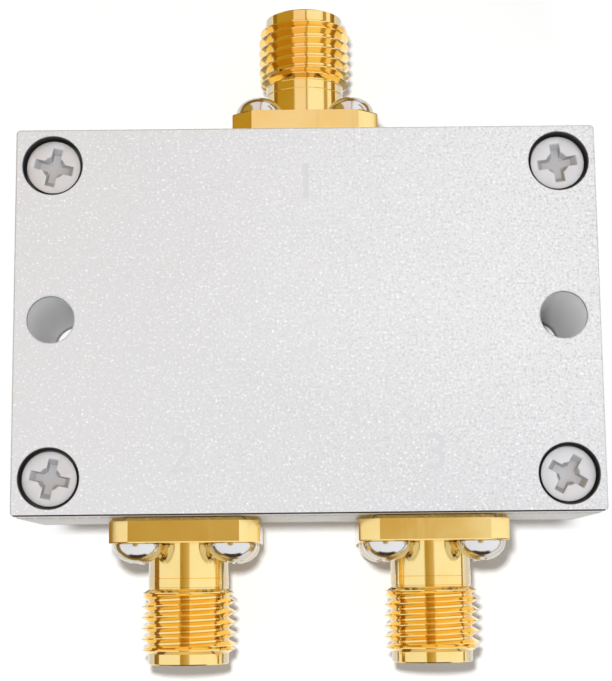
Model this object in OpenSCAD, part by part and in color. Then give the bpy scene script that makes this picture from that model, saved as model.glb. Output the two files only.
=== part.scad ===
// Two-way RF power splitter: a milled box with a screwed cover and three threaded coaxial jacks.
// Millimetres. The origin is the middle of the underside, +Z goes up through the cover,
// the common jack points along +Y and the two output jacks along -Y.

/* [Body] */
// Length of the body along X
body_length = 38.1; // [37:0.1:60]
// Depth of the body along Y
body_depth = 25.4; // [25:0.1:50]
// Height of the body with its cover
body_height = 12.7; // [12.4:0.1:20]
// Thickness of the walls that carry the jacks
side_wall = 3.4; // [3.2:0.1:3.6]
// Length of the solid block at each end
end_block = 5.4; // [4.8:0.1:5.8]
// Radius of the milling cutter left in the pocket's corners
pocket_corner = 1.5; // [0.5:0.1:1.8]

/* [Cover] */
// Thickness of the cover plate
cover_thickness = 2; // [1.9:0.1:2.6]
// How far the cover's edges stand inside the body's sides
cover_inset = 0.05; // [0.02:0.01:0.3]
// Diameter of the straight recess over each cover screw
recess_diameter = 3.9; // [3.8:0.05:4.1]
// Depth of a cover screw's head below the cover's face
screw_sink = 0.55; // [0.3:0.05:0.6]

/* [Fastening] */
// Distance of the through holes and cover screws from the body's ends
end_inset = 2.45; // [2.3:0.05:2.6]
// Distance of the cover screws from the front and back sides
side_inset = 2.45; // [2.3:0.05:2.8]
// Diameter of the two through holes
mount_hole = 3.05; // [2.6:0.05:3.2]

/* [Cover screws] */
// Thread diameter of the cover screws
cover_screw_thread = 2; // [1.6:0.1:2.2]
// Head diameter of the cover screws
cover_screw_head = 3.55; // [3.4:0.05:3.7]
// Head height of the cover screws
cover_screw_head_height = 0.95; // [0.9:0.05:1.1]
// Width of the bevel round the top of the cover screws' heads
cover_screw_edge = 0.1; // [0.05:0.01:0.2]
// Length of the cover screws below their heads
cover_screw_length = 5; // [3:0.5:6]
// Span of the cross recess in a cover screw
cover_cross_span = 2.66; // [2.4:0.02:2.8]
// Width of the wings of the cross recess in a cover screw
cover_cross_width = 0.66; // [0.5:0.02:0.7]
// Depth of the cross recess in a cover screw
cover_cross_depth = 0.55; // [0.4:0.05:0.6]

/* [Small screws] */
// Thread diameter of the flange and board screws
small_thread = 1.6; // [1.2:0.1:1.7]
// Head diameter of the flange and board screws
small_head = 3.2; // [2.8:0.05:3.2]
// Head height of the flange and board screws
small_head_height = 1.3; // [1:0.1:1.6]
// Span of the cross recess in a flange or board screw
small_cross_span = 1.7; // [1.5:0.05:1.8]
// Width of the wings of the cross recess in a flange or board screw
small_cross_width = 0.4; // [0.3:0.02:0.45]
// Depth of the cross recess in a flange or board screw
small_cross_depth = 0.75; // [0.5:0.05:0.8]
// Reach of a flange screw into the wall
flange_screw_reach = 2.4; // [1.5:0.1:2.6]
// Reach of a board screw into the floor
board_screw_reach = 2.2; // [1.2:0.1:2.6]

/* [Jacks] */
// Distance of each output jack's axis from the body's end
output_inset = 10.95; // [10.7:0.05:12]
// Width and height of a jack's flange
flange_width = 9.8; // [9.7:0.1:10.4]
// Width of the flat at each corner of the flange, along the body
flange_clip_width = 1.4; // [1.2:0.05:1.45]
// Height of the flat at each corner of the flange
flange_clip_height = 1.15; // [1:0.05:1.2]
// Thickness of a jack's flange
flange_thickness = 1.65; // [1.2:0.05:2.5]
// Distance between the flange holes
flange_hole_spacing = 6.16; // [6.14:0.02:6.24]
// Diameter of the neck and of the plain front end
neck_diameter = 5.35; // [5.2:0.05:5.4]
// Length of the neck
neck_length = 2.95; // [2.6:0.05:4]
// Major diameter of the outer thread
jack_thread = 6.3; // [6.2:0.01:6.35]
// Length of the outer thread
jack_thread_length = 4.2; // [3:0.05:6]
// Length of the plain front end
front_length = 0.7; // [0.5:0.05:1.5]
// Diameter of the open mouth
mouth_diameter = 4.6; // [4.55:0.01:4.7]
// Depth of the open mouth down to the insulator
mouth_depth = 1.95; // [1.8:0.05:2.2]

/* [Insulators and contacts] */
// Diameter of the insulator rod
insulator_diameter = 4.1; // [4:0.05:4.2]
// Diameter of the centre contact
contact_diameter = 1.27; // [1.2:0.01:1.4]
// Diameter of the socket in the contact's end
socket_diameter = 0.92; // [0.88:0.01:0.96]
// Depth of the socket in the contact's end
socket_depth = 2.9; // [2:0.1:3.5]
// Width of the two slots across the socket
socket_slot = 0.2; // [0.15:0.01:0.25]
// Length of the contact's flat tab over the track
tab_length = 1.8; // [1.2:0.1:2.2]
// Width of the contact's flat tab
tab_width = 1.1; // [0.8:0.05:1.15]
// Thickness of the contact's flat tab
tab_thickness = 0.3; // [0.2:0.05:0.5]

/* [Circuit] */
// Thickness of the circuit board
board_thickness = 0.8; // [0.5:0.1:1.2]
// Gap between the board and the pocket's walls
board_gap = 0.1; // [0.05:0.05:0.3]
// Distance of the board screws from the board's edges
board_screw_inset = 2; // [1.9:0.1:2.2]
// Thickness of the copper track with its plating
track_thickness = 0.1; // [0.05:0.01:0.2]
// Width of the common and output lines
line_width = 1.8; // [1.2:0.1:2]
// Width of the two arms
arm_width = 0.7; // [0.5:0.05:0.9]
// Radius of each loop of the arms along its middle
loop_radius = 1.9; // [1.6:0.05:2]
// Gap between the two arms under each resistor
arm_gap = 0.5; // [0.3:0.05:0.7]
// Length of a chip resistor
resistor_length = 1.6; // [1.4:0.1:2]
// Width of a chip resistor
resistor_width = 0.8; // [0.5:0.05:1]
// Height of a chip resistor
resistor_height = 0.45; // [0.3:0.05:0.6]

/* [Fits] */
// Play around the screws in their tapped holes, on the diameter
thread_play = 0.06; // [0.04:0.01:0.1]
// Play around the screws in their clearance holes, on the diameter
screw_play = 0.2; // [0.1:0.05:0.3]
// Play around the insulators in the housing's bores, on the diameter
bore_play = 0.1; // [0.05:0.05:0.2]

/* [Hidden] */
$fn = 64;
// Overshoot of a cut beyond the faces it opens
cut = 0.5;
// Depth left free below the tip of a screw
tip_space = 0.4;
// Turn of the cross recess of each cover screw, counted from the back left corner
recess_turns = [77, 8, 78, 60];
housing_height = body_height - cover_thickness;
// Level of the floor in the recesses, where the cover screws' heads bear
recess_floor = body_height - screw_sink - cover_screw_head_height;
jack_height = body_height / 2;
// Distance between the axes of the two output jacks
output_spacing = body_length - 2 * output_inset;
pocket_length = body_length - 2 * end_block;
pocket_depth = body_depth - 2 * side_wall;
fastener_x = body_length / 2 - end_inset;
cover_screw_y = body_depth / 2 - side_inset;
track_top = jack_height - tab_thickness / 2;
board_top = track_top - track_thickness;
floor_height = board_top - board_thickness;
board_length = pocket_length - 2 * board_gap;
board_depth = pocket_depth - 2 * board_gap;
board_screw_x = board_length / 2 - board_screw_inset;
board_screw_y = board_depth / 2 - board_screw_inset;
// The chain of three loops ends level with the output lines
loop_end_y = -2.9 * loop_radius;
jack_length = flange_thickness + neck_length + jack_thread_length + front_length;
insulator_end = jack_length - mouth_depth;
corners = [[-1, 1], [1, 1], [-1, -1], [1, -1]];

// Places

// A jack's own frame has its axis along +Z, with the flange's back face at zero.
module at_common() {
    translate([0, body_depth / 2, jack_height]) rotate([-90, 0, 0]) children();
}

module at_output_1() {
    translate([-output_spacing / 2, -body_depth / 2, jack_height]) rotate([90, 0, 0]) children();
}

module at_output_2() {
    translate([output_spacing / 2, -body_depth / 2, jack_height]) rotate([90, 0, 0]) children();
}

module at_all_jacks() {
    at_common() children();
    at_output_1() children();
    at_output_2() children();
}

module at_flange_holes() {
    for (corner = corners)
        translate([corner[0] * flange_hole_spacing / 2, corner[1] * flange_hole_spacing / 2, 0]) children();
}

module at_cover_screws() {
    for (corner = corners)
        translate([corner[0] * fastener_x, corner[1] * cover_screw_y, 0]) children();
}

module at_board_screws() {
    for (corner = corners)
        translate([corner[0] * board_screw_x, corner[1] * board_screw_y, 0]) children();
}

module at_mount_holes() {
    for (side = [-1, 1])
        translate([side * fastener_x, 0, 0]) children();
}

// Body

// The pocket's plan, with the cutter's radius in its corners
module pocket_plan() {
    long = pocket_length - 2 * pocket_corner;
    deep = pocket_depth - 2 * pocket_corner;
    square([pocket_length, deep], center = true);
    square([long, pocket_depth], center = true);
    for (corner = corners)
        translate([corner[0] * long / 2, corner[1] * deep / 2]) circle(r = pocket_corner);
}

module housing() {
    color("silver") difference() {
        translate([-body_length / 2, -body_depth / 2, 0]) cube([body_length, body_depth, housing_height]);
        translate([0, 0, floor_height]) linear_extrude(housing_height) pocket_plan();
        at_mount_holes() translate([0, 0, -cut]) cylinder(d = mount_hole, h = body_height + 2 * cut);
        // tapped holes for the cover
        at_cover_screws()
            translate([0, 0, recess_floor - cover_screw_length - tip_space])
                cylinder(d = cover_screw_thread + thread_play, h = body_height);
        // tapped holes for the board
        at_board_screws()
            translate([0, 0, floor_height - board_screw_reach - tip_space])
                cylinder(d = small_thread + thread_play, h = board_screw_reach + tip_space + cut);
        // bores for the insulators and tapped holes for the flanges
        at_all_jacks() {
            translate([0, 0, -side_wall - cut])
                cylinder(d = insulator_diameter + bore_play, h = side_wall + 2 * cut);
            at_flange_holes()
                translate([0, 0, -flange_screw_reach - tip_space])
                    cylinder(d = small_thread + thread_play, h = flange_screw_reach + tip_space + cut);
        }
    }
}

module cover() {
    color("gainsboro") difference() {
        translate([-body_length / 2 + cover_inset, -body_depth / 2 + cover_inset, housing_height])
            cube([body_length - 2 * cover_inset, body_depth - 2 * cover_inset, cover_thickness]);
        at_mount_holes()
            translate([0, 0, housing_height - cut]) cylinder(d = mount_hole, h = cover_thickness + 2 * cut);
        at_cover_screws() {
            translate([0, 0, housing_height - cut])
                cylinder(d = cover_screw_thread + screw_play, h = cover_thickness + 2 * cut);
            translate([0, 0, recess_floor])
                cylinder(d = recess_diameter, h = body_height - recess_floor + cut);
        }
    }
}

// Fasteners

// The cross recess of a screw, cut down from a head whose top is at zero
module cross_recess(span, width, depth) {
    for (turn = [0, 90])
        rotate([0, 0, turn]) translate([-span / 2, -width / 2, -depth]) cube([span, width, depth + cut]);
    translate([0, 0, -depth]) cylinder(d1 = width, d2 = 2.2 * width, h = depth + 0.01);
}

// A flat-headed screw seated at zero, with its shank going down
module flat_screw() {
    rim = cover_screw_head_height - cover_screw_edge;
    difference() {
        union() {
            cylinder(d = cover_screw_head, h = rim);
            translate([0, 0, rim])
                cylinder(d1 = cover_screw_head, d2 = cover_screw_head - 2 * cover_screw_edge,
                    h = cover_screw_edge);
            translate([0, 0, -cover_screw_length])
                cylinder(d = cover_screw_thread, h = cover_screw_length + rim);
        }
        translate([0, 0, cover_screw_head_height])
            cross_recess(cover_cross_span, cover_cross_width, cover_cross_depth);
    }
}

// Each screw stopped at its own turn when it was tightened
module cover_screws() {
    color("lightgray")
        for (index = [0:3])
            translate([corners[index][0] * fastener_x, corners[index][1] * cover_screw_y, recess_floor])
                rotate([0, 0, recess_turns[index]]) flat_screw();
}

// A pan-head screw seated at zero, with its shank going down
module pan_screw(shank) {
    rim = small_head_height * 0.45;
    crown = small_head_height - rim;
    // sphere that meets the rim at the head's edge and the crown at the top
    crown_radius = (crown * crown + small_head * small_head / 4) / (2 * crown);
    difference() {
        union() {
            cylinder(d = small_head, h = rim);
            intersection() {
                translate([0, 0, small_head_height - crown_radius]) sphere(r = crown_radius);
                cylinder(d = small_head, h = small_head_height + cut);
            }
            translate([0, 0, -shank]) cylinder(d = small_thread, h = shank + rim);
        }
        translate([0, 0, small_head_height])
            cross_recess(small_cross_span, small_cross_width, small_cross_depth);
    }
}

module flange_screws() {
    at_flange_holes()
        translate([0, 0, flange_thickness]) pan_screw(flange_thickness + flange_screw_reach);
}

module board_screws() {
    color("silver") at_board_screws()
        translate([0, 0, board_top]) pan_screw(board_thickness + board_screw_reach);
}

// Circuit

module circuit_board() {
    // rounded to clear the cutter's radius in the pocket's corners
    round = pocket_corner;
    long = board_length - 2 * round;
    deep = board_depth - 2 * round;
    color("darkgreen") difference() {
        translate([0, 0, floor_height]) linear_extrude(board_thickness) {
            square([board_length, deep], center = true);
            square([long, board_depth], center = true);
            for (corner = corners)
                translate([corner[0] * long / 2, corner[1] * deep / 2]) circle(r = round);
        }
        at_board_screws()
            translate([0, 0, floor_height - cut])
                cylinder(d = small_thread + screw_play, h = board_thickness + 2 * cut);
    }
}

// Level of the gap below the numbered loop, where a resistor bridges the arms
function bridge_y(number) = loop_end_y + (3 - number) * 2 * loop_radius;

module signal_track() {
    common_start = bridge_y(1) + 2 * loop_radius - arm_width / 2;
    color("goldenrod") translate([0, 0, board_top]) linear_extrude(track_thickness) difference() {
        union() {
            translate([-line_width / 2, common_start]) square([line_width, board_depth / 2 - common_start]);
            for (number = [1:3])
                translate([0, bridge_y(number) + loop_radius]) difference() {
                    circle(r = loop_radius + arm_width / 2);
                    circle(r = loop_radius - arm_width / 2);
                }
            translate([-(output_spacing + line_width) / 2, loop_end_y - line_width / 2])
                square([output_spacing + line_width, line_width]);
            for (side = [-1, 1])
                translate([side * output_spacing / 2 - line_width / 2, -board_depth / 2])
                    square([line_width, board_depth / 2 + loop_end_y]);
        }
        for (number = [1:3])
            translate([-arm_gap / 2, bridge_y(number) - line_width])
                square([arm_gap, 2 * line_width]);
    }
}

module chip_resistor(number) {
    color("dimgray")
        translate([-resistor_length / 2, bridge_y(number) - resistor_width / 2, track_top])
            cube([resistor_length, resistor_width, resistor_height]);
}

module resistor_1() {
    chip_resistor(1);
}

module resistor_2() {
    chip_resistor(2);
}

module resistor_3() {
    chip_resistor(3);
}

// Jacks

// A square plate with its four corners milled off
module flange() {
    side = flange_width / 2;
    flat_x = side - flange_clip_width;
    flat_y = side - flange_clip_height;
    linear_extrude(flange_thickness)
        polygon([[side, -flat_y], [side, flat_y], [flat_x, side], [-flat_x, side],
            [-side, flat_y], [-side, -flat_y], [-flat_x, -side], [flat_x, -side]]);
}

// One turned and milled piece; its outer thread is drawn as its major cylinder
module connector() {
    thread_start = flange_thickness + neck_length;
    thread_end = thread_start + jack_thread_length;
    lead_in = (jack_thread - neck_diameter) / 2;
    rim = 0.15;
    difference() {
        union() {
            flange();
            rotate_extrude()
                polygon([[0, 0], [neck_diameter / 2, 0], [neck_diameter / 2, thread_start],
                    [jack_thread / 2, thread_start + lead_in], [jack_thread / 2, thread_end - lead_in],
                    [neck_diameter / 2, thread_end], [neck_diameter / 2, jack_length - rim],
                    [neck_diameter / 2 - rim, jack_length], [0, jack_length]]);
        }
        translate([0, 0, -cut]) cylinder(d = insulator_diameter, h = jack_length + 2 * cut);
        translate([0, 0, insulator_end]) cylinder(d = mouth_diameter, h = mouth_depth + cut);
        at_flange_holes()
            translate([0, 0, -cut]) cylinder(d = small_thread + screw_play, h = flange_thickness + 2 * cut);
    }
}

module insulator() {
    difference() {
        translate([0, 0, -side_wall]) cylinder(d = insulator_diameter, h = insulator_end + side_wall);
        translate([0, 0, -side_wall - cut])
            cylinder(d = contact_diameter, h = insulator_end + side_wall + 2 * cut);
    }
}

module contact() {
    difference() {
        union() {
            translate([0, 0, -side_wall]) cylinder(d = contact_diameter, h = insulator_end + side_wall);
            translate([-tab_width / 2, -tab_thickness / 2, -side_wall - tab_length])
                cube([tab_width, tab_thickness, tab_length + 0.2]);
        }
        translate([0, 0, insulator_end - socket_depth]) cylinder(d = socket_diameter, h = socket_depth + cut);
        for (turn = [0, 90])
            rotate([0, 0, turn])
                translate([-contact_diameter, -socket_slot / 2, insulator_end - socket_depth * 0.8])
                    cube([2 * contact_diameter, socket_slot, socket_depth]);
    }
}

module common_connector() {
    color("gold") at_common() connector();
}

module common_insulator() {
    color("white") at_common() insulator();
}

module common_contact() {
    color("gold") at_common() contact();
}

module common_screws() {
    color("silver") at_common() flange_screws();
}

module output_1_connector() {
    color("gold") at_output_1() connector();
}

module output_1_insulator() {
    color("white") at_output_1() insulator();
}

module output_1_contact() {
    color("gold") at_output_1() contact();
}

module output_1_screws() {
    color("silver") at_output_1() flange_screws();
}

module output_2_connector() {
    color("gold") at_output_2() connector();
}

module output_2_insulator() {
    color("white") at_output_2() insulator();
}

module output_2_contact() {
    color("gold") at_output_2() contact();
}

module output_2_screws() {
    color("silver") at_output_2() flange_screws();
}

housing();
cover();
cover_screws();
circuit_board();
signal_track();
resistor_1();
resistor_2();
resistor_3();
board_screws();
common_connector();
common_insulator();
common_contact();
common_screws();
output_1_connector();
output_1_insulator();
output_1_contact();
output_1_screws();
output_2_connector();
output_2_insulator();
output_2_contact();
output_2_screws();
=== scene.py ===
# A two-way RF power splitter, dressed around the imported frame.
# Metres, in the part's own frame: +Z goes up through the cover, the common jack points along +Y
# and the two output jacks along -Y.

import math

import bpy
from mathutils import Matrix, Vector


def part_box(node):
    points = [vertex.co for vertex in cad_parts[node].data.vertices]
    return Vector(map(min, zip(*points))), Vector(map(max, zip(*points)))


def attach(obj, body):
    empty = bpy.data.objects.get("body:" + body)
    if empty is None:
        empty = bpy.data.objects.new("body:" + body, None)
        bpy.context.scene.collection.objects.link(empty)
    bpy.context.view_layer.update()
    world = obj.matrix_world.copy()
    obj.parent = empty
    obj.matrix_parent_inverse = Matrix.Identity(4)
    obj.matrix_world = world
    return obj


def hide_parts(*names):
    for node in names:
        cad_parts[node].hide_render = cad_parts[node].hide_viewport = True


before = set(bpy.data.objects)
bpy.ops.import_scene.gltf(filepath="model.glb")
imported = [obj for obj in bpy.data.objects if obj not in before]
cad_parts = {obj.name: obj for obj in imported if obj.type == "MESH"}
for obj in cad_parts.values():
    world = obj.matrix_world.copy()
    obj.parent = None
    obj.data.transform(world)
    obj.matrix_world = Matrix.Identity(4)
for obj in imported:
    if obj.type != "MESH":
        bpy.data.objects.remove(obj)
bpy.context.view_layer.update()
MM = 0.001


# Housing
# One block of aluminium, milled out for the circuit, bored for the jacks and tapped for all the screws.
# Its edges are broken with a file, and it is blasted with fine beads all over.

housing_low, housing_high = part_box("housing")
housing_edge = 0.14 * MM
upright_edge = 0.28 * MM
end_block = 5.4 * MM
side_wall = 3.4 * MM
pocket_floor = 5.3 * MM
pocket_corner = 1.5 * MM
fastening_x = 16.6 * MM
fastening_hole = 1.525 * MM
fastening_hole_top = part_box("cover")[1].z
# the painted shade line at each end of a fastening hole, for the shade at its rim and at its foot: how far in
# it is full, and how far in it has faded out
hole_top_line = (0.25 * MM, 0.35 * MM)
hole_foot_line = (0.4 * MM, 1.3 * MM)
hole_wall_margin = 0.02 * MM
hole_wall_fade = 0.03 * MM
hole_line_margin = 0.01 * MM
blast_grain_scale = 11000
cover_screw_y = 10.25 * MM
cover_recess = 1.95 * MM
cover_screw_tap = 1.03 * MM
cover_screw_tap_floor = 5.8 * MM
jack_bore = 2.1 * MM
flange_hole_step = 3.08 * MM
flange_screw_tap = 0.83 * MM
flange_screw_tap_depth = 2.8 * MM
corners = [(-1, 1), (1, 1), (-1, -1), (1, -1)]
overshoot = 0.5 * MM


def select_only(piece):
    """Deselects everything else, the frame's nodes too, and makes the piece the active one."""
    bpy.ops.object.select_all(action="DESELECT")
    piece.select_set(True)
    bpy.context.view_layer.objects.active = piece


def settle(piece):
    """Puts a piece's place, turn and size into its mesh, so that its object sits at the origin."""
    select_only(piece)
    bpy.ops.object.transform_apply(location=True, rotation=True, scale=True)
    return piece


def block(name, low, high):
    """A box between two corners."""
    low, high = Vector(low), Vector(high)
    bpy.ops.object.select_all(action="DESELECT")
    bpy.ops.mesh.primitive_cube_add(size=1, location=(low + high) / 2, scale=high - low)
    bpy.context.object.name = name
    return settle(bpy.context.object)


def rod(name, radius, start, end, sides=48):
    """A round bar between two points on a line along Y or Z."""
    start, end = Vector(start), Vector(end)
    along = end - start
    bpy.ops.object.select_all(action="DESELECT")
    bpy.ops.mesh.primitive_cylinder_add(
        vertices=sides,
        radius=radius,
        depth=along.length,
        location=(start + end) / 2,
        rotation=along.to_track_quat("Z", "X").to_euler(),
    )
    bpy.context.object.name = name
    return settle(bpy.context.object)


def round_edges(piece, chosen, width, rows=2, finish=-1):
    """Bevels the edges whose two ends the test picks out, with a finish of their own if one is given."""
    select_only(piece)
    bpy.ops.object.mode_set(mode="EDIT")
    bpy.ops.mesh.select_mode(type="EDGE")
    bpy.ops.mesh.select_all(action="DESELECT")
    bpy.ops.object.mode_set(mode="OBJECT")
    points = piece.data.vertices
    for edge in piece.data.edges:
        first, second = edge.vertices
        edge.select = chosen(points[first].co, points[second].co)
    bpy.ops.object.mode_set(mode="EDIT")
    bpy.ops.mesh.bevel(offset=width, segments=rows, affect="EDGES", material=finish)
    bpy.ops.object.mode_set(mode="OBJECT")


def carve(piece, tool, how="DIFFERENCE"):
    """Cuts a piece with a tool, or joins or keeps what they share. The tool is used up."""
    select_only(piece)
    change = piece.modifiers.new("carve", "BOOLEAN")
    change.operation = how
    change.solver = "EXACT"
    change.object = tool
    bpy.ops.object.modifier_apply(modifier=change.name)
    bpy.data.objects.remove(tool)


def dress(piece, material, slot, *nodes, crease=38):
    """Smooths a finished piece up to a crease angle, gives it its finish, and lets it stand for its nodes."""
    select_only(piece)
    bpy.ops.object.shade_smooth_by_angle(angle=math.radians(crease))
    even = piece.modifiers.new("even", "WEIGHTED_NORMAL")
    even.keep_sharp = True
    bpy.ops.object.modifier_apply(modifier=even.name)
    if not piece.data.materials:
        piece.data.materials.append(material)
    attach(piece, "root")
    if nodes:
        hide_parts(*nodes)


def upright(first, second):
    """Whether an edge runs along Z."""
    return math.hypot(first.x - second.x, first.y - second.y) < 1e-7


def level(first, second):
    """Whether an edge lies flat, along X or Y or round a corner."""
    return abs(first.z - second.z) < 1e-7


def jack_places():
    """Each jack's name, the middle of its flange's back face, and the turn that lays its +Z axis outwards."""
    places = []
    for name in ("common", "output_1", "output_2"):
        low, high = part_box(name + "_connector")
        outward = 1 if high.y > 0 else -1
        seat = low.y if outward > 0 else high.y
        middle = Vector(((low.x + high.x) / 2, seat, (low.z + high.z) / 2))
        places.append((name, middle, -outward * math.pi / 2))
    return places


def node(tree, kind, inputs=(), **settings):
    """Adds a shader node with its settings, and values or links for its input sockets."""
    made = tree.nodes.new("ShaderNode" + kind)
    for name, value in settings.items():
        setattr(made, name, value)
    for name, value in dict(inputs).items():
        if isinstance(value, bpy.types.NodeSocket):
            tree.links.new(value, made.inputs[name])
        else:
            made.inputs[name].default_value = value
    return made


def new_finish(name):
    """A node material, with its tree, its shader and the coordinates of the piece it is on."""
    material = bpy.data.materials.new(name)
    material.use_nodes = True
    tree = material.node_tree
    place = node(tree, "TexCoord").outputs["Object"]
    return material, tree, tree.nodes["Principled BSDF"], place


def new_effect(name, inputs, outputs):
    """A shader node group with named sockets, each a float or a vector."""
    group = bpy.data.node_groups.new(name, "ShaderNodeTree")
    for label, kind in inputs:
        group.interface.new_socket(label, in_out="INPUT", socket_type="NodeSocket" + kind)
    for label, kind in outputs:
        group.interface.new_socket(label, in_out="OUTPUT", socket_type="NodeSocket" + kind)
    given = group.nodes.new("NodeGroupInput").outputs
    taken = group.nodes.new("NodeGroupOutput").inputs
    return group, given, taken


def use_effect(tree, group, **inputs):
    """Places a node group in a material, with its own values, and returns its outputs."""
    made = tree.nodes.new("ShaderNodeGroup")
    made.node_tree = group
    for name, value in inputs.items():
        socket = made.inputs[name.replace("_", " ")]
        if isinstance(value, bpy.types.NodeSocket):
            tree.links.new(value, socket)
        else:
            socket.default_value = value
    return made.outputs


def blast_grain():
    """What fine beads leave on metal: small dents, a few painted glints and slow patches of tone."""
    group, given, taken = new_effect(
        "blast_grain",
        [("Vector", "Vector"), ("Grain", "Float")],
        [("Height", "Float"), ("Glints", "Float"), ("Pits", "Float"), ("Patches", "Float")],
    )
    dents = node(group, "TexNoise", {
        "Vector": given["Vector"], "Scale": given["Grain"], "Detail": 2, "Roughness": 0.6})
    coarse_scale = node(group, "Math", {0: given["Grain"], 1: 0.42}, operation="MULTIPLY")
    coarse = node(group, "TexNoise", {
        "Vector": given["Vector"], "Scale": coarse_scale.outputs[0], "Detail": 1})
    height = node(group, "Math", {
        0: dents.outputs["Fac"], 1: 0.7, 2: coarse.outputs["Fac"]}, operation="MULTIPLY_ADD")
    speck_scale = node(group, "Math", {0: given["Grain"], 1: 0.55}, operation="MULTIPLY")
    specks = node(group, "TexNoise", {
        "Vector": given["Vector"], "Scale": speck_scale.outputs[0], "Detail": 2})
    glints = node(group, "MapRange", {
        "Value": specks.outputs["Fac"], "From Min": 0.58, "From Max": 0.76})
    pits = node(group, "MapRange", {
        "Value": specks.outputs["Fac"], "From Min": 0.28, "From Max": 0.48, "To Min": 1, "To Max": 0})
    patch_noise = node(group, "TexNoise", {"Vector": given["Vector"], "Scale": 420, "Detail": 4})
    group.links.new(height.outputs[0], taken["Height"])
    group.links.new(glints.outputs["Result"], taken["Glints"])
    group.links.new(pits.outputs["Result"], taken["Pits"])
    group.links.new(patch_noise.outputs["Fac"], taken["Patches"])
    return group


blast_grain_effect = blast_grain()


def two_tone(tree, factor, first, second, start=0.35, end=0.65):
    """A colour that goes from the first to the second as the factor rises."""
    ramp = node(tree, "ValToRGB", {"Fac": factor})
    ramp.color_ramp.elements[0].position = start
    ramp.color_ramp.elements[0].color = (*first, 1)
    ramp.color_ramp.elements[1].position = end
    ramp.color_ramp.elements[1].color = (*second, 1)
    return ramp.outputs["Color"]


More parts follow.
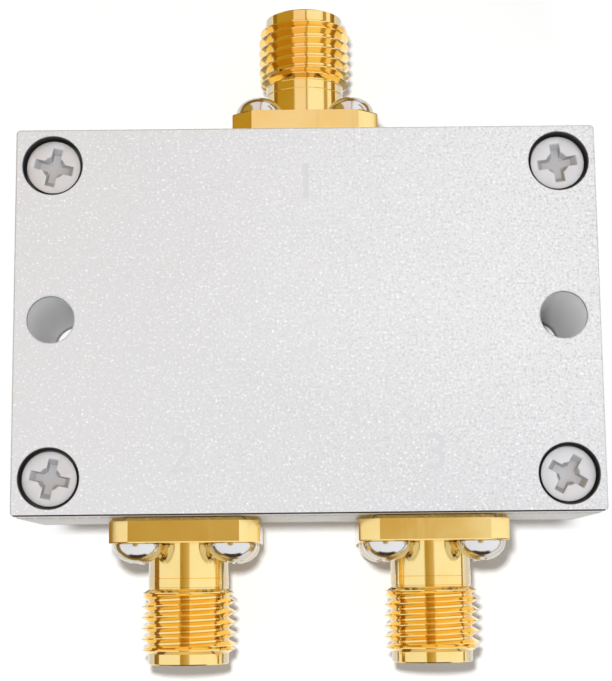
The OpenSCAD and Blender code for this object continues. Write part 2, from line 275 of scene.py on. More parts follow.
def blasted_aluminium(name, shade_dark, shade_light, grain_depth):
    """Bead-blasted aluminium, coarser to +X, its tone painted paler to +X as painted light from that side,
    and darker to -Y.

    Its through holes' walls are painted near white and not metallic, a painted light for what their smooth
    walls catch, with a painted shade line at each end, and its screw recesses are painted near black as
    shade.
    """
    pit_colour = (0.52, 0.52, 0.52, 1)
    glint_colour = (0.97, 0.97, 0.97, 1)
    hole_painted_light = (0.99, 0.99, 0.99, 1)
    hole_shade_colour = (0.2, 0.2, 0.2, 1)
    recess_shade_colour = (0.1, 0.095, 0.09, 1)
    material, tree, shader, place = new_finish(name)
    grain = use_effect(tree, blast_grain_effect, Vector=place, Grain=blast_grain_scale)
    flat = node(tree, "VectorMath", {0: place, 1: (1, 1, 0)}, operation="MULTIPLY")
    folded = node(tree, "VectorMath", {0: flat.outputs["Vector"]}, operation="ABSOLUTE")

    def within(centre, radius):
        """1 in a round opening and on its wall, 0 outside; the folded place lets one stand for all."""
        away = node(tree, "VectorMath", {0: folded.outputs["Vector"], 1: centre}, operation="DISTANCE")
        wall = radius + hole_wall_margin
        return node(tree, "MapRange", {
            "Value": away.outputs["Value"], "From Min": wall, "From Max": wall + hole_wall_fade,
            "To Min": 1, "To Max": 0}).outputs["Result"]

    hole = within((fastening_x, 0, 0), fastening_hole)
    recess = within((fastening_x, cover_screw_y, 0), cover_recess)
    spot = node(tree, "SeparateXYZ", {"Vector": place}).outputs
    upper_end = node(tree, "MapRange", {
        "Value": spot["Z"],
        "From Min": fastening_hole_top - hole_top_line[1], "From Max": fastening_hole_top - hole_top_line[0]})
    lower_end = node(tree, "MapRange", {
        "Value": spot["Z"], "From Min": hole_foot_line[0], "From Max": hole_foot_line[1],
        "To Min": 1, "To Max": 0})
    ends = node(tree, "Math", {
        0: upper_end.outputs["Result"], 1: lower_end.outputs["Result"]}, operation="MAXIMUM")
    hole_line = node(tree, "Math", {
        0: within((fastening_x, 0, 0), fastening_hole - hole_line_margin),
        1: ends.outputs[0]}, operation="MULTIPLY")
    along = node(tree, "MapRange", {
        "Value": spot["X"], "From Min": housing_low.x, "From Max": housing_high.x}).outputs["Result"]
    forward = node(tree, "MapRange", {
        "Value": spot["Y"], "From Min": housing_low.y, "From Max": 0, "To Min": -0.5, "To Max": 0})
    # the tone is painted paler to +X, a painted light from that side, and darker to -Y
    slow_change = node(tree, "Math", {0: along, 1: forward.outputs["Result"]}, operation="ADD")
    blend = node(tree, "Math", {
        0: grain["Patches"], 1: 0.3, 2: slow_change.outputs[0]}, operation="MULTIPLY_ADD")
    tone = two_tone(tree, blend.outputs[0], shade_dark, shade_light, 0.4, 1)
    pit_share = node(tree, "MapRange", {"Value": along, "To Min": 0.05, "To Max": 0.75})
    pitted = node(tree, "Math", {0: grain["Pits"], 1: pit_share.outputs["Result"]}, operation="MULTIPLY")
    dimmed = node(tree, "Mix", {0: pitted.outputs[0], 6: tone, 7: pit_colour}, data_type="RGBA")
    # specks of the grain are painted near white, a painted highlight for glints
    sparkle = node(tree, "Mix", {
        0: grain["Glints"], 6: dimmed.outputs[2], 7: glint_colour}, data_type="RGBA")
    # the walls of the through holes are painted near white, a painted light
    pale = node(tree, "Mix", {0: hole, 6: sparkle.outputs[2], 7: hole_painted_light}, data_type="RGBA")
    # a painted shade line darkens each end of the through holes
    lined = node(tree, "Mix", {
        0: hole_line.outputs[0], 6: pale.outputs[2], 7: hole_shade_colour}, data_type="RGBA")
    # the walls of the screw recesses are painted near black, a painted shade in the gap round the heads
    shaded_recess = node(tree, "Mix", {0: recess, 6: lined.outputs[2], 7: recess_shade_colour}, data_type="RGBA")
    tree.links.new(shaded_recess.outputs[2], shader.inputs["Base Color"])
    dull = node(tree, "MapRange", {"Value": grain["Glints"], "To Min": 0.5, "To Max": 0.3})
    smoother = node(tree, "Mix", {0: recess, 2: dull.outputs["Result"], 3: 0.3}, data_type="FLOAT")
    tree.links.new(smoother.outputs[0], shader.inputs["Roughness"])
    clear = node(tree, "MapRange", {"Value": hole, "To Min": 0.55, "To Max": 0})
    tree.links.new(clear.outputs["Result"], shader.inputs["Metallic"])
    coarser = node(tree, "MapRange", {"Value": along, "To Min": 0.45, "To Max": 0.9})
    dents = node(tree, "Bump", {
        "Height": grain["Height"], "Strength": coarser.outputs["Result"], "Distance": grain_depth})
    tree.links.new(dents.outputs["Normal"], shader.inputs["Normal"])
    return material


# the housing's aluminium is painted darker and warmer than the cover's, a painted shade for its sides in
# shade and a painted reflection of the gold
shaded_housing_finish = blasted_aluminium(
    "blasted_housing_shaded", (0.6, 0.585, 0.56), (0.64, 0.625, 0.6), 0.012 * MM)

housing = block("housing_block", housing_low, housing_high)
round_edges(housing, upright, upright_edge, rows=4)
round_edges(housing, level, housing_edge)

pocket = block(
    "pocket_cutter",
    (housing_low.x + end_block, housing_low.y + side_wall, pocket_floor),
    (housing_high.x - end_block, housing_high.y - side_wall, housing_high.z + overshoot),
)
round_edges(pocket, upright, pocket_corner, rows=8)
carve(housing, pocket)

for side in (-1, 1):
    hole_x = side * fastening_x
    carve(housing, rod(
        "fastening_drill", fastening_hole,
        (hole_x, 0, housing_low.z - overshoot), (hole_x, 0, housing_high.z + overshoot), sides=96))

for side, end in corners:
    screw_x, screw_y = side * fastening_x, end * cover_screw_y
    carve(housing, rod(
        "cover_tap", cover_screw_tap,
        (screw_x, screw_y, cover_screw_tap_floor), (screw_x, screw_y, housing_high.z + overshoot)))

for jack_name, seat, turn in jack_places():
    inward = Vector((0, -1 if seat.y > 0 else 1, 0))
    outside = seat - inward * overshoot
    carve(housing, rod("jack_bore_drill", jack_bore, outside, seat + inward * (side_wall + overshoot)))
    for side, end in corners:
        step = Vector((side * flange_hole_step, 0, end * flange_hole_step))
        carve(housing, rod(
            "flange_tap", flange_screw_tap,
            outside + step, seat + step + inward * flange_screw_tap_depth, sides=32))

dress(housing, shaded_housing_finish, "body", "housing")


# Circuit board, track, resistors and board screws
# Inside the closed box: a woven laminate, plated copper track, three glazed chips and four small screws.
# Their solids have the right shape, so they stay and get a better finish.


def fine_marks():
    """Handling marks on smooth surfaces: hair-thin scratches and faint smudges."""
    group, given, taken = new_effect(
        "fine_marks",
        [("Vector", "Vector"), ("Scratch Scale", "Float"), ("Smudge Scale", "Float")],
        [("Scratches", "Float"), ("Smudges", "Float")],
    )
    stretched = node(group, "Mapping", {
        "Vector": given["Vector"], "Rotation": (0.3, 0.2, 0.9), "Scale": (1, 0.06, 0.4)})
    lines = node(group, "TexNoise", {
        "Vector": stretched.outputs["Vector"], "Scale": given["Scratch Scale"], "Detail": 3})
    scratches = node(group, "MapRange", {
        "Value": lines.outputs["Fac"], "From Min": 0.58, "From Max": 0.72})
    cloud = node(group, "TexNoise", {
        "Vector": given["Vector"], "Scale": given["Smudge Scale"], "Detail": 3})
    group.links.new(scratches.outputs["Result"], taken["Scratches"])
    group.links.new(cloud.outputs["Fac"], taken["Smudges"])
    return group


fine_marks_effect = fine_marks()


def woven_laminate():
    """Pale laminate, with the crossing threads of its cloth showing through."""
    material, tree, shader, place = new_finish("woven_laminate")
    thread_step = 0.45 * MM
    # the bands of a wave texture of scale 1 lie this far apart
    band_step = 0.31
    warp = node(tree, "TexWave", {
        "Vector": place, "Scale": band_step / thread_step, "Distortion": 0.6}, bands_direction="X")
    weft = node(tree, "TexWave", {
        "Vector": place, "Scale": band_step / thread_step, "Distortion": 0.6}, bands_direction="Y")
    cloth = node(tree, "Math", {0: warp.outputs["Fac"], 1: weft.outputs["Fac"]}, operation="MULTIPLY")
    colour = two_tone(tree, cloth.outputs[0], (0.62, 0.57, 0.42), (0.74, 0.7, 0.56), 0.1, 0.8)
    tree.links.new(colour, shader.inputs["Base Color"])
    weave = node(tree, "Bump", {
        "Height": cloth.outputs[0], "Strength": 0.4, "Distance": 0.01 * MM})
    tree.links.new(weave.outputs["Normal"], shader.inputs["Normal"])
    shader.inputs["Roughness"].default_value = 0.55
    return material


def plated_metal(
        name, shade_dark, shade_light, polish, marks_depth, scratch_scale,
        pale_rim=0, rim_slope=2, dim_below=0):
    """A bright metal with smudges in its polish and hair-thin scratches.

    Sides that turn away from the view get a pale rim, a painted reflection, and what lies deeper than
    dim_below is painted darker as shade.
    """
    rim_reflection_colour = (0.54, 0.49, 0.4, 1)
    # painted shade for what lies deeper than dim_below, such as the floors of a cross recess
    sunk_shade_colour = (0.6, 0.59, 0.57, 1)
    dim_start = 0.04 * MM
    dim_full = 0.12 * MM
    dim_share = 0.8
    material, tree, shader, place = new_finish(name)
    marks = use_effect(
        tree, fine_marks_effect, Vector=place, Scratch_Scale=scratch_scale, Smudge_Scale=420)
    tone = two_tone(tree, marks["Smudges"], shade_dark, shade_light)
    turned_away = node(tree, "LayerWeight", {"Blend": 0.5}).outputs["Facing"]
    rim = node(tree, "MapRange", {
        "Value": turned_away, "From Min": 0.32, "From Max": 0.62, "To Max": pale_rim},
        interpolation_type="SMOOTHSTEP")
    # the pale rim, a painted reflection, ends where a surface slopes along Y by more than the rim slope, as a
    # thread's flanks do
    facing = node(tree, "SeparateXYZ", {"Vector": node(tree, "NewGeometry").outputs["Normal"]})
    slope = node(tree, "Math", {0: facing.outputs["Y"]}, operation="ABSOLUTE")
    across = node(tree, "MapRange", {
        "Value": slope.outputs[0], "From Min": rim_slope, "From Max": rim_slope + 0.3,
        "To Min": 1, "To Max": 0})
    side = node(tree, "Math", {
        0: rim.outputs["Result"], 1: across.outputs["Result"]}, operation="MULTIPLY")
    # the plating's tone with the painted rim reflection laid over it
    plating = node(tree, "Mix", {0: side.outputs[0], 6: tone, 7: rim_reflection_colour}, data_type="RGBA")
    height = node(tree, "SeparateXYZ", {"Vector": place}).outputs["Z"]
    sunk = node(tree, "MapRange", {
        "Value": height, "From Min": dim_below - dim_full, "From Max": dim_below - dim_start,
        "To Min": dim_share, "To Max": 0})
    dimmed = node(tree, "Mix", {
        0: sunk.outputs["Result"], 6: plating.outputs[2], 7: sunk_shade_colour}, data_type="RGBA")
    tree.links.new(dimmed.outputs[2], shader.inputs["Base Color"])
    rough = node(tree, "MapRange", {
        "Value": marks["Smudges"], "From Min": 0.3, "From Max": 0.7,
        "To Min": polish, "To Max": polish * 1.6})
    scratched = node(tree, "Math", {
        0: marks["Scratches"], 1: 0.06, 2: rough.outputs["Result"]}, operation="MULTIPLY_ADD")
    tree.links.new(scratched.outputs[0], shader.inputs["Roughness"])
    lines = node(tree, "Bump", {
        "Height": marks["Scratches"], "Strength": 0.3, "Distance": marks_depth}, invert=True)
    tree.links.new(lines.outputs["Normal"], shader.inputs["Normal"])
    shader.inputs["Metallic"].default_value = 1
    return material


def glazed_chip():
    """A dark glass glaze with fine pits over a ceramic chip."""
    material, tree, shader, place = new_finish("glazed_chip")
    pits = node(tree, "TexNoise", {"Vector": place, "Scale": 9000, "Detail": 2})
    tree.links.new(
        two_tone(tree, pits.outputs["Fac"], (0.01, 0.01, 0.011), (0.03, 0.03, 0.032)),
        shader.inputs["Base Color"])
    dimples = node(tree, "Bump", {
        "Height": pits.outputs["Fac"], "Strength": 0.3, "Distance": 0.004 * MM})
    tree.links.new(dimples.outputs["Normal"], shader.inputs["Normal"])
    shader.inputs["Roughness"].default_value = 0.2
    return material


def refinish(name, material):
    """Gives a node that stays its better finish."""
    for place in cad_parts[name].material_slots:
        place.material = material


# pale_rim sets how strongly the painted rim reflection shows
nickel = plated_metal(
    "nickel_plating", (0.72, 0.69, 0.62), (0.78, 0.745, 0.67), 0.1, 0.002 * MM, 2600, pale_rim=0.7)
copper = plated_metal(
    "plated_copper", (0.8, 0.5, 0.28), (0.88, 0.6, 0.36), 0.28, 0.003 * MM, 3000)
chip_glaze = glazed_chip()
refinish("circuit_board", woven_laminate())
refinish("signal_track", copper)
for number in (1, 2, 3):
    refinish("resistor_{}".format(number), chip_glaze)
refinish("board_screws", nickel)


# Insulators and contacts
# White fluoroplastic rods through each jack and the wall, and gold-plated sockets down their middles.
# They show in the jacks' mouths; their solids have the right shape, so they stay.


def white_insulator():
    """Fluoroplastic: waxy white and faintly mottled."""
    material, tree, shader, place = new_finish("white_insulator")
    mottle = node(tree, "TexNoise", {"Vector": place, "Scale": 1400, "Detail": 3})
    tree.links.new(
        two_tone(tree, mottle.outputs["Fac"], (0.8, 0.8, 0.78), (0.87, 0.87, 0.86)),
        shader.inputs["Base Color"])
    dimples = node(tree, "Bump", {
        "Height": mottle.outputs["Fac"], "Strength": 0.3, "Distance": 0.006 * MM})
    tree.links.new(dimples.outputs["Normal"], shader.inputs["Normal"])
    shader.inputs["Roughness"].default_value = 0.42
    return material


# pale_rim sets how strongly the painted rim reflection shows
gold = plated_metal(
    "gold_plating", (0.97, 0.69, 0.24), (0.99, 0.75, 0.3), 0.08, 0.0015 * MM, 1500,
    pale_rim=0.8, rim_slope=0.3)
insulator_finish = white_insulator()
for jack_name, seat, turn in jack_places():
    refinish(jack_name + "_insulator", insulator_finish)
    refinish(jack_name + "_contact", gold)


# Jacks
# Each is turned from one bar of brass to a neck, an outer thread and a plain open end, and its back is milled
# to a square flange with flats at its corners and a bevelled back edge. It is gold plated.

jack_low, jack_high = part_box("common_connector")
jack_length = jack_high.y - jack_low.y
flange_half = (jack_high.x - jack_low.x) / 2
flange_thickness = 1.65 * MM
flange_edge = 0.09 * MM
flange_back_edge = 0.22 * MM
# the flats at each corner: how far in from the side and the top a point on it lies, and its lean
flange_corner_flats = [(1.32 * MM, 0, math.radians(39)), (0.35 * MM, 0.8 * MM, math.radians(43))]
flange_hole = 0.9 * MM
neck_start = 0.2 * MM
neck_radius = 2.675 * MM
neck_line_places = [3.9 * MM, 4.5 * MM]
neck_line = 0.03 * MM
thread_start = 4.6 * MM
thread_end = 8.8 * MM
thread_radius = 3.15 * MM
thread_root = 2.69 * MM
thread_collar = 3.05 * MM
thread_pitch = 25.4 / 36 * MM
thread_phase = 0.1 * MM
thread_crest = 0.06 * MM
thread_flank = math.tan(math.radians(30))
thread_foot = thread_crest + 2 * (thread_radius - thread_root) * thread_flank
thread_sunk = 0.04 * MM
thread_steps = 72
lead_in = 0.9 * MM
lead_in_sunk = 0.1 * MM
rim_break = 0.06 * MM
bore_radius = 2.05 * MM
mouth_radius = 2.3 * MM
mouth_depth = 1.95 * MM
mouth_break = 0.12 * MM


def drawn(name, points):
    """A line of edges through (radius, height) points, in the plane of X and Z."""
    bpy.ops.object.select_all(action="DESELECT")
    bpy.ops.mesh.primitive_plane_add(size=MM)
    piece = bpy.context.object
    piece.name = name
    bpy.ops.object.mode_set(mode="EDIT")
    bpy.ops.mesh.select_mode(type="VERT")
    bpy.ops.mesh.select_all(action="SELECT")
    bpy.ops.mesh.merge(type="CENTER")
    bpy.ops.transform.translate(value=(points[0][0], 0, points[0][1]))
    for (radius, height), (next_radius, next_height) in zip(points, points[1:]):
        move = (next_radius - radius, 0, next_height - height)
        bpy.ops.mesh.extrude_region_move(TRANSFORM_OT_translate={"value": move})
    bpy.ops.object.mode_set(mode="OBJECT")
    return piece


def close_up(piece):
    """Merges doubled points, closes small open ends and turns all faces outwards."""
    select_only(piece)
    bpy.ops.object.mode_set(mode="EDIT")
    bpy.ops.mesh.select_all(action="SELECT")
    bpy.ops.mesh.remove_doubles(threshold=1e-8)
    bpy.ops.mesh.fill_holes(sides=4)
    bpy.ops.mesh.select_all(action="SELECT")
    bpy.ops.mesh.normals_make_consistent(inside=False)
    bpy.ops.object.mode_set(mode="OBJECT")
    return piece


def turned(name, points, steps=96):
    """Spins a line that starts and ends on the Z axis into one closed solid, as on a lathe."""
    piece = drawn(name, points)
    bpy.ops.object.mode_set(mode="EDIT")
    bpy.ops.mesh.select_all(action="SELECT")
    bpy.ops.mesh.spin(steps=steps, angle=2 * math.pi, center=(0, 0, 0), axis=(0, 0, 1))
    bpy.ops.object.mode_set(mode="OBJECT")
    return close_up(piece)


def thread_ridge():
    """The ridge of the outer thread, wound round the Z axis and run out at both ends."""
    inner = thread_root - thread_sunk
    crest_half = thread_crest / 2
    foot_half = thread_foot / 2
    first_turn = thread_start + thread_phase - thread_pitch
    outline = [
        (inner, first_turn - foot_half),
        (thread_root, first_turn - foot_half),
        (thread_radius, first_turn - crest_half),
        (thread_radius, first_turn + crest_half),
        (thread_root, first_turn + foot_half),
        (inner, first_turn + foot_half),
        (inner, first_turn - foot_half),
    ]
    ridge = drawn("thread_ridge", outline)
    select_only(ridge)
    bpy.ops.object.mode_set(mode="EDIT")
    bpy.ops.mesh.select_all(action="SELECT")
    bpy.ops.mesh.remove_doubles(threshold=1e-8)
    bpy.ops.object.mode_set(mode="OBJECT")
    winding = ridge.modifiers.new("winding", "SCREW")
    winding.axis = "Z"
    winding.angle = 2 * math.pi
    winding.screw_offset = thread_pitch
    winding.iterations = math.ceil((thread_end - thread_start) / thread_pitch) + 2
    winding.steps = thread_steps
    winding.render_steps = thread_steps
    winding.use_merge_vertices = False
    bpy.ops.object.modifier_apply(modifier=winding.name)
    close_up(ridge)
    narrow = neck_radius - lead_in_sunk
    run_out = turned("run_out", [
        (0, thread_start),
        (narrow, thread_start),
        (narrow + lead_in, thread_start + lead_in),
        (narrow + lead_in, thread_end - lead_in),
        (narrow, thread_end),
        (0, thread_end),
    ], steps=thread_steps)
    carve(ridge, run_out, "INTERSECT")
    return ridge


def round_front(first, second):
    """Whether an edge lies round the flange's front face."""
    return min(first.z, second.z) > flange_thickness - 1e-7


def round_back(first, second):
    """Whether an edge lies round the flange's back face."""
    return max(first.z, second.z) < 1e-7


flange = block("flange", (-flange_half, -flange_half, 0), (flange_half, flange_half, flange_thickness))
bpy.ops.object.mode_set(mode="EDIT")
for side, end in corners:
    for from_side, from_top, lean in flange_corner_flats:
        bpy.ops.mesh.select_all(action="SELECT")
        bpy.ops.mesh.bisect(
            plane_co=(side * (flange_half - from_side), end * (flange_half - from_top), 0),
            plane_no=(side * math.sin(lean), end * math.cos(lean), 0),
            threshold=1e-7,
            use_fill=True,
            clear_outer=True,
        )
bpy.ops.object.mode_set(mode="OBJECT")
round_edges(flange, round_front, flange_edge)
round_edges(flange, round_back, flange_back_edge, rows=1)

# two fine lines left by the tool on the neck, and a bevelled collar at each end of the thread
neck = [(0, neck_start), (neck_radius, neck_start)]
for line_place in neck_line_places:
    neck.append((neck_radius, line_place - neck_line))
    neck.append((neck_radius - neck_line, line_place))
    neck.append((neck_radius, line_place + neck_line))
collar_bevel = (thread_collar - neck_radius) * thread_flank
collar_side = collar_bevel + thread_crest
collar_foot = collar_side + (thread_collar - thread_root) * thread_flank
jack = turned("jack", neck + [
    (neck_radius, thread_start),
    (thread_collar, thread_start + collar_bevel),
    (thread_collar, thread_start + collar_side),
    (thread_root, thread_start + collar_foot),
    (thread_root, thread_end - collar_foot),
    (thread_collar, thread_end - collar_side),
    (thread_collar, thread_end - collar_bevel),
    (neck_radius, thread_end),
    (neck_radius, jack_length - rim_break),
    (neck_radius - rim_break, jack_length),
    (0, jack_length),
], steps=128)
carve(jack, thread_ridge(), "UNION")
carve(jack, flange, "UNION")
carve(jack, turned("bore_tool", [
    (0, -overshoot),
    (bore_radius, -overshoot),
    (bore_radius, jack_length - mouth_depth),
    (mouth_radius, jack_length - mouth_depth),
    (mouth_radius, jack_length - mouth_break),
    (mouth_radius + 2 * mouth_break, jack_length + mouth_break),
    (0, jack_length + mouth_break),
]))
for side, end in corners:
    hole = Vector((side * flange_hole_step, end * flange_hole_step, 0))
    carve(jack, rod(
        "flange_drill", flange_hole,
        hole - Vector((0, 0, overshoot)), hole + Vector((0, 0, flange_thickness + overshoot))))


def copied(piece, name, place, turn):
    """A copy with a mesh of its own, turned about its axes and set in its place."""
    copy = piece.copy()
    copy.data = piece.data.copy()
    copy.name = name
    bpy.context.scene.collection.objects.link(copy)
    copy.rotation_euler = turn
    copy.location = place
    return settle(copy)


for jack_name, seat, turn in jack_places():
    placed = copied(jack, jack_name + "_jack", seat, (turn, 0, 0))
    dress(placed, gold, "jack", jack_name + "_connector", crease=9)
bpy.data.objects.remove(jack)


# Flange screws
# Four small nickel-plated steel screws hold each flange, with polished round heads and a cross recess.
# Each stopped at its own turn when it was tightened.

pan_radius = 1.6 * MM
pan_height = 1.3 * MM
pan_rim = 0.1 * MM
pan_under = 0.05 * MM
flange_screw_shank = 0.8 * MM
flange_screw_length = 4.05 * MM
flange_screw_turns = [23, 71, 48, 5, 60, 34, 82, 12, 40, 77, 18, 55]
pan_cross_reach = 0.85 * MM
pan_cross_width = 0.36 * MM
pan_cross_depth = 0.7 * MM
pan_cone_top = 0.42 * MM
pan_cone_tip = 0.2 * MM
pan_cone_depth = 0.62 * MM
wing_taper = 0.72
recess_over = 0.02 * MM
crown_points = 14


def cross_tool(name, reach, width, depth):
    """The four-winged point that presses a cross recess, standing with its top just above zero."""
    half = width / 2
    tool = block(name, (-half, -half, -depth), (half, half, recess_over))
    bpy.ops.object.mode_set(mode="EDIT")
    bpy.ops.mesh.select_mode(type="FACE")
    for outward in (Vector((1, 0, 0)), Vector((-1, 0, 0)), Vector((0, 1, 0)), Vector((0, -1, 0))):
        bpy.ops.mesh.select_all(action="DESELECT")
        bpy.ops.object.mode_set(mode="OBJECT")
        for face in tool.data.polygons:
            face.select = (face.center.xy - outward.xy * half).length < 1e-7
        bpy.ops.object.mode_set(mode="EDIT")
        bpy.ops.mesh.extrude_region_move(TRANSFORM_OT_translate={"value": outward * (reach - half)})
    # the wings slope in a little towards the tip
    bpy.ops.mesh.select_mode(type="VERT")
    bpy.ops.mesh.select_all(action="DESELECT")
    bpy.ops.object.mode_set(mode="OBJECT")
    for point in tool.data.vertices:
        point.select = point.co.z < 0
    bpy.ops.object.mode_set(mode="EDIT")
    bpy.ops.transform.resize(value=(wing_taper, wing_taper, 1), center_override=(0, 0, 0))
    bpy.ops.object.mode_set(mode="OBJECT")
    return tool


def recess_cone(name, top, tip, depth):
    """The round middle of a cross recess, which cuts the corners between the wings."""
    bpy.ops.object.select_all(action="DESELECT")
    tall = depth + recess_over
    flare = top + (top - tip) * recess_over / depth
    bpy.ops.mesh.primitive_cone_add(
        vertices=24, radius1=tip, radius2=flare, depth=tall, location=(0, 0, (recess_over - depth) / 2))
    bpy.context.object.name = name
    return settle(bpy.context.object)


def press_recess(screw, head_top, *tools):
    """Presses tools that stand at zero into the top of a screw's head. The tools are used up."""
    for tool in tools:
        tool.location.z = head_top
        carve(screw, settle(tool))


dome = []
for index in range(crown_points + 1):
    lean = math.pi / 2 * index / crown_points
    dome.append((pan_radius * math.sin(lean), pan_rim + (pan_height - pan_rim) * math.cos(lean)))

pan_screw = turned("pan_screw", dome + [
    (pan_radius, pan_under),
    (pan_radius - pan_under, 0),
    (flange_screw_shank, 0),
    (flange_screw_shank, -flange_screw_length),
    (0, -flange_screw_length),
], steps=64)
press_recess(
    pan_screw, pan_height,
    cross_tool("pan_cross", pan_cross_reach, pan_cross_width, pan_cross_depth),
    recess_cone("pan_cone", pan_cone_top, pan_cone_tip, pan_cone_depth))


def joined(pieces, name):
    """Joins pieces into one, under a new name."""
    bpy.ops.object.select_all(action="DESELECT")
    for piece in pieces:
        piece.select_set(True)
    bpy.context.view_layer.objects.active = pieces[0]
    bpy.ops.object.join()
    pieces[0].name = name
    return pieces[0]


turns_left = list(flange_screw_turns)
for jack_name, seat, turn in jack_places():
    outward = Vector((0, 1 if seat.y > 0 else -1, 0))
    screws = []
    for side, end in corners:
        spin = math.radians(turns_left.pop(0))
        turned_screw = copied(pan_screw, "flange_screw", (0, 0, 0), (0, 0, spin))
        hole = seat + outward * flange_thickness + Vector((side, 0, end)) * flange_hole_step
        turned_screw.rotation_euler = (turn, 0, 0)
        turned_screw.location = hole
        screws.append(settle(turned_screw))
    dress(joined(screws, jack_name + "_screw_set"), nickel, "screw", jack_name + "_screws")
bpy.data.objects.remove(pan_screw)


# Cover
# A flat aluminium plate that closes the pocket, drilled and counterbored at its corners for its screws.
# It stands a hair inside the housing's sides and is blasted like the housing; its front edge is cut bright.

cover_low, cover_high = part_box("cover")
cover_edge = 0.09 * MM
recess_break = 0.07 * MM
recess_floor = 11.2 * MM
screw_clearance = 1.1 * MM
hole_break = 0.08 * MM
cut_edge_slope = 0.6

cover_finish = blasted_aluminium(
    "blasted_cover", (0.71, 0.71, 0.705), (0.79, 0.79, 0.78), 0.06 * MM)
cut_edge = plated_metal(
    "cut_aluminium", (0.74, 0.74, 0.74), (0.8, 0.8, 0.8), 0.06, 0.001 * MM, 2600)
cover = block("cover_plate", cover_low, cover_high)
cover.data.materials.append(cover_finish)
cover.data.materials.append(cut_edge)
round_edges(cover, upright, upright_edge, rows=4)
round_edges(cover, level, cover_edge, rows=1)
for face in cover.data.polygons:
    if face.normal.z > cut_edge_slope and face.normal.y < -cut_edge_slope:
        face.material_index = 1

for side, end in corners:
    tool = turned("recess_tool", [
        (0, cover_low.z - overshoot),
        (screw_clearance, cover_low.z - overshoot),
        (screw_clearance, recess_floor),
        (cover_recess, recess_floor),
        (cover_recess, cover_high.z - recess_break),
        (cover_recess + 2 * recess_break, cover_high.z + recess_break),
        (0, cover_high.z + recess_break),
    ])
    tool.location = (side * fastening_x, end * cover_screw_y, 0)
    carve(cover, settle(tool))

for side in (-1, 1):
    tool = turned("fastening_tool", [
        (0, cover_low.z - overshoot),
        (fastening_hole, cover_low.z - overshoot),
        (fastening_hole, cover_high.z - hole_break),
        (fastening_hole + 2 * hole_break, cover_high.z + hole_break),
        (0, cover_high.z + hole_break),
    ])
    tool.location = (side * fastening_x, 0, 0)
    carve(cover, settle(tool))

dress(cover, cover_finish, "body", "cover")


# Cover screws
# Four nickel-plated screws with flat satin heads, sunk below the cover's face, with a pressed cross recess.
# Each stopped at its own turn when it was tightened.

flat_head_radius = 1.775 * MM
flat_head_height = 0.95 * MM
flat_head_edge = 0.03 * MM
cross_edge = 0.035 * MM
cross_edge_angle = math.radians(35)
cover_cross_reach = 1.33 * MM
cover_cross_width = 0.66 * MM
cover_cross_depth = 0.55 * MM
cover_cone_top = 0.76 * MM
cover_cone_tip = 0.5 * MM
cover_cone_depth = 0.5 * MM
cover_screw_radius = 1.0 * MM
cover_screw_length = 5 * MM
cover_screw_turns = [77, 8, 78, 60]
head_top = recess_floor + flat_head_height
# below the head's top, the cross recesses are painted darker, a painted shade
satin_nickel = plated_metal(
    "satin_nickel", (0.84, 0.835, 0.81), (0.9, 0.895, 0.87), 0.45, 0.003 * MM, 2600, dim_below=head_top)

flat_screw = turned("flat_screw", [
    (0, flat_head_height),
    (flat_head_radius - flat_head_edge, flat_head_height),
    (flat_head_radius, flat_head_height - flat_head_edge),
    (flat_head_radius, 0),
    (cover_screw_radius, 0),
    (cover_screw_radius, -cover_screw_length),
    (0, -cover_screw_length),
])
press_recess(
    flat_screw, flat_head_height,
    cross_tool("cover_cross", cover_cross_reach, cover_cross_width, cover_cross_depth),
    recess_cone("cover_cone", cover_cone_top, cover_cone_tip, cover_cone_depth))
worn = flat_screw.modifiers.new("worn", "BEVEL")
worn.limit_method = "ANGLE"
worn.angle_limit = cross_edge_angle
worn.width = cross_edge
worn.segments = 2
bpy.ops.object.modifier_apply(modifier=worn.name)

screws = []
for (side, end), turn in zip(corners, cover_screw_turns):
    place = (side * fastening_x, end * cover_screw_y, recess_floor)
    screws.append(copied(flat_screw, "cover_screw", place, (0, 0, math.radians(turn))))
bpy.data.objects.remove(flat_screw)
dress(joined(screws, "cover_screw_set"), satin_nickel, "screw", "cover_screws")


# Port numbers
# Plain numerals marked on the cover beside the jacks by a laser, which leaves the metal a little darker.
# They stand for a skin that is far thinner than it is drawn.

numeral_height = 2.4 * MM
# a numeral's height as a share of the size of its letters
numeral_share = 0.7
numeral_skin = 0.006 * MM
numeral_places = [("1", 0, 8.9 * MM), ("2", -8.1 * MM, -8.9 * MM), ("3", 8.1 * MM, -8.9 * MM)]


def laser_mark():
    """Metal that a laser has darkened, with the blasted grain and its painted glints still showing."""
    material, tree, shader, place = new_finish("laser_mark")
    grain = use_effect(tree, blast_grain_effect, Vector=place, Grain=blast_grain_scale)
    # the grain's glints are painted paler, a painted highlight
    tree.links.new(
        two_tone(tree, grain["Glints"], (0.63, 0.635, 0.64), (0.75, 0.75, 0.755), 0.1, 0.9),
        shader.inputs["Base Color"])
    dents = node(tree, "Bump", {"Height": grain["Height"], "Strength": 0.5, "Distance": 0.014 * MM})
    tree.links.new(dents.outputs["Normal"], shader.inputs["Normal"])
    shader.inputs["Metallic"].default_value = 0.4
    shader.inputs["Roughness"].default_value = 0.55
    return material


mark_finish = laser_mark()
for numeral, place_x, place_y in numeral_places:
    bpy.ops.object.select_all(action="DESELECT")
    bpy.ops.object.text_add(location=(0, 0, 0))
    mark = bpy.context.object
    mark.name = "port_number_" + numeral
    mark.data.body = numeral
    mark.data.align_x = "CENTER"
    mark.data.align_y = "CENTER"
    mark.data.size = numeral_height / numeral_share
    mark.data.extrude = numeral_skin / 2
    bpy.ops.object.convert(target="MESH")
    mark = bpy.context.object
    mark.location = (place_x, place_y, cover_high.z + numeral_skin / 2)
    settle(mark)
    close_up(mark)
    dress(mark, mark_finish, "body")


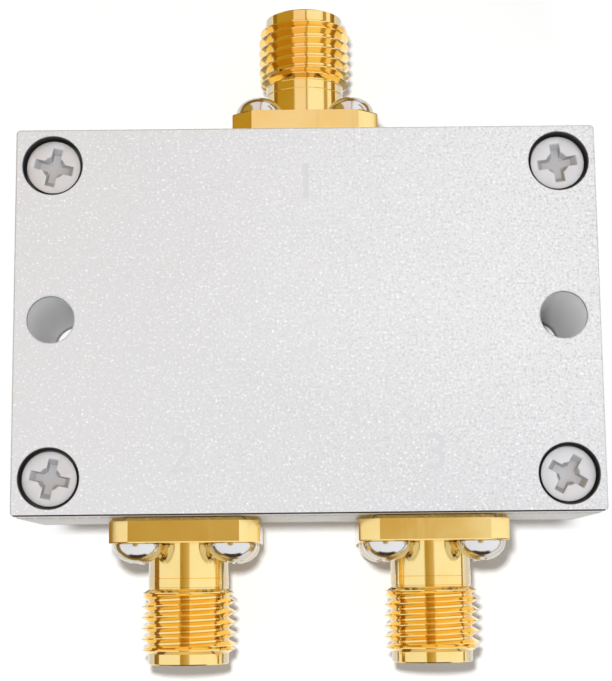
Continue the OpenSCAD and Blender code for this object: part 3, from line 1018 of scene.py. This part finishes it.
# Camera
# A long lens nearly straight above the cover, a little towards the output jacks, as in the photograph.
# Its place, turn and length were fitted to the lid's corners, its screws and holes, the flanges and threads.

camera_place = (-0.44722 * MM, -17.17266 * MM, 113.43346 * MM)
camera_turn = (0.15398, -0.00182, -0.01048)
focal_length = 83.617
sensor_width = 36

camera_lens = bpy.data.cameras.new("camera")
camera_lens.lens = focal_length
camera_lens.sensor_width = sensor_width
camera_lens.clip_start = 1 * MM
camera = bpy.data.objects.new("camera", camera_lens)
camera.location = camera_place
camera.rotation_euler = camera_turn
bpy.context.scene.collection.objects.link(camera)
bpy.context.scene.camera = camera


# Floor and light
# A white sheet on a brown table, in a bright cloth tent with a dim back left and a dark gap in front.
# The tent is open above, where the camera and a lamp look in from a warm room. The tent and the table show
# only as reflections in the metal; to the camera, everything round the sheet is white.

sheet_width = 64 * MM
surround_width = 6000 * MM
sheet_drop = 0.02 * MM
surround_drop = 0.025 * MM
# where the sheet goes over to plain white, to the left, to the right, and to the front and back
left_fade = (-16.1 * MM, -18.4 * MM)
right_fade = (17.5 * MM, 19.6 * MM)
front_fade = (26 * MM, 32 * MM)
lamp_height = 113 * MM
lamp_place = (-3.8 * MM, -8.2 * MM, lamp_height)
lamp_width = 6 * MM
lamp_strength = 0.78

sheet_finish, sheet_tree, sheet_shader, sheet_place = new_finish("white_sheet")
sheet_tone = node(sheet_tree, "TexNoise", {"Vector": sheet_place, "Scale": 60, "Detail": 2})
sheet_tree.links.new(
    two_tone(sheet_tree, sheet_tone.outputs["Fac"], (0.94, 0.94, 0.94), (0.96, 0.96, 0.96)),
    sheet_shader.inputs["Base Color"])
sheet_shader.inputs["Roughness"].default_value = 0.9
sheet_shader.inputs["Specular IOR Level"].default_value = 0


def rise(value, start, end):
    """Goes smoothly from 0 at the start to 1 at the end; the start may be the higher one."""
    low, high = min(start, end), max(start, end)
    first, last = (0, 1) if start < end else (1, 0)
    return node(value.id_data, "MapRange", {
        "Value": value, "From Min": low, "From Max": high, "To Min": first, "To Max": last},
        interpolation_type="SMOOTHSTEP").outputs["Result"]


def both(first, second):
    """Where two masks overlap."""
    return node(first.id_data, "Math", {0: first, 1: second}, operation="MULTIPLY").outputs[0]


# beyond the ends of the body and of the jacks the sheet looks plain white, and shows no shadow
spread = node(sheet_tree, "SeparateXYZ", {"Vector": sheet_place}).outputs
beyond_ends = node(sheet_tree, "Math", {
    0: rise(spread["X"], *left_fade), 1: rise(spread["X"], *right_fade)}, operation="ADD")
away = node(sheet_tree, "Math", {0: spread["Y"]}, operation="ABSOLUTE")
beyond = node(sheet_tree, "Math", {
    0: beyond_ends.outputs[0], 1: rise(away.outputs[0], *front_fade)}, operation="MAXIMUM")
shown = node(sheet_tree, "Math", {
    0: 1, 1: node(sheet_tree, "LightPath").outputs["Is Diffuse Ray"]}, operation="SUBTRACT")
plain_white = node(sheet_tree, "Emission", {"Color": (1, 1, 1, 1), "Strength": 1})
sheet_look = node(sheet_tree, "MixShader", {
    0: both(beyond.outputs[0], shown.outputs[0]),
    1: sheet_shader.outputs["BSDF"],
    2: plain_white.outputs["Emission"]})
sheet_tree.links.new(sheet_look.outputs["Shader"], sheet_tree.nodes["Material Output"].inputs["Surface"])


def floor_part(name, width, drop):
    """A flat white square under the object."""
    bpy.ops.object.select_all(action="DESELECT")
    bpy.ops.mesh.primitive_plane_add(size=width, location=(0, 0, -drop))
    part = bpy.context.object
    part.name = name
    part.data.materials.append(sheet_finish)
    return part


floor_part("sheet", sheet_width, sheet_drop)
surround = floor_part("surround", surround_width, surround_drop)
surround.visible_glossy = False

world = bpy.data.worlds.new("tent")
bpy.context.scene.world = world
world.use_nodes = True
sky = world.node_tree
sky.nodes.clear()
look = node(sky, "TexCoord").outputs["Generated"]
way = node(sky, "SeparateXYZ", {"Vector": look}).outputs


def painted(picture, mask, colour):
    """The picture with a colour laid over it where the mask says so."""
    return node(sky, "Mix", {0: mask, 6: picture, 7: colour}, data_type="RGBA").outputs[2]


# masks of what the tent and the table show, by the direction in which it lies from the object
opening_lean = math.radians(7)
opening_inside = math.radians(12.5)
opening_outside = math.radians(14.5)
opening_axis = (-math.sin(opening_lean), 0, math.cos(opening_lean))
near_opening = node(sky, "VectorMath", {0: look, 1: opening_axis}, operation="DOT_PRODUCT").outputs["Value"]
opening = rise(near_opening, math.cos(opening_outside), math.cos(opening_inside))
at_back = rise(way["Y"], 0.12, 0.22)
at_back_right = both(at_back, rise(way["X"], 0.5, 0.55))
back_left = both(at_back, rise(way["X"], -0.46, -0.5))
back_peach = both(at_back, rise(way["X"], 0.08, 0.06))
back_seam = both(at_back, both(rise(way["X"], 0.06, 0.07), rise(way["X"], 0.15, 0.14)))
back_stripe = both(at_back_right, both(rise(way["Z"], 0.27, 0.3), rise(way["Z"], 0.49, 0.46)))
back_table = both(at_back_right, both(rise(way["Z"], 0.06, 0.03), rise(way["Z"], -0.6, -0.5)))
table_left = both(rise(way["X"], 0.3, 0.1), both(rise(way["Z"], -0.6, -0.5), rise(way["Z"], 0.04, 0)))
table_right = both(rise(way["X"], 0.1, 0.3), both(rise(way["Z"], -0.22, -0.16), rise(way["Z"], -0.06, -0.1)))
gap = both(rise(way["Y"], -0.84, -0.92), both(rise(way["Z"], -0.3, -0.25), rise(way["Z"], 0.24, 0.18)))

room = two_tone(sky, node(sky, "MapRange", {
    "Value": way["X"], "From Min": -0.3, "From Max": 0.12}).outputs["Result"],
    (0.42, 0.28, 0.02), (0.68, 0.55, 0.32), 0, 1)
cloth = two_tone(sky, node(sky, "MapRange", {
    "Value": way["X"], "From Min": -1, "From Max": 1}).outputs["Result"],
    (0.96, 1.0, 1.14), (1.04, 1.09, 1.22), 0, 1)
table_brown = (0.3, 0.17, 0.03, 1)
layers = [
    (opening, room),
    (back_peach, (0.95, 0.85, 0.88, 1)),
    (back_seam, (0.5, 0.38, 0.15, 1)),
    (back_stripe, (0.5, 0.36, 0.1, 1)),
    (back_table, (0.4, 0.25, 0.06, 1)),
    (back_left, (0.48, 0.33, 0.05, 1)),
    (table_left, table_brown),
    (table_right, table_brown),
    (gap, (0.06, 0.04, 0.03, 1)),
]
picture = cloth
for mask, colour in layers:
    picture = painted(picture, mask, colour)
tent_mirrored = node(sky, "Background", {"Color": picture, "Strength": 1})
tent_fill = node(sky, "Background", {"Color": (1, 1, 1, 1), "Strength": 0.42})
white_seen = node(sky, "Background", {"Color": (1, 1, 1, 1), "Strength": 1})
path = node(sky, "LightPath").outputs
lit = node(sky, "MixShader", {
    0: path["Is Glossy Ray"], 1: tent_fill.outputs[0], 2: tent_mirrored.outputs[0]})
tent = node(sky, "MixShader", {0: path["Is Camera Ray"], 1: lit.outputs[0], 2: white_seen.outputs[0]})
node(sky, "OutputWorld", {"Surface": tent.outputs[0]})

lamp_light = bpy.data.lights.new("lamp", "AREA")
lamp_light.shape = "DISK"
lamp_light.size = lamp_width
lamp_light.energy = lamp_strength * math.pi ** 2 * lamp_height ** 2
lamp = bpy.data.objects.new("lamp", lamp_light)
lamp.location = lamp_place
lamp.rotation_euler = Vector(lamp_place).to_track_quat("Z", "Y").to_euler()
lamp.visible_glossy = False
bpy.context.scene.collection.objects.link(lamp)

bpy.context.scene.view_settings.view_transform = "Standard"
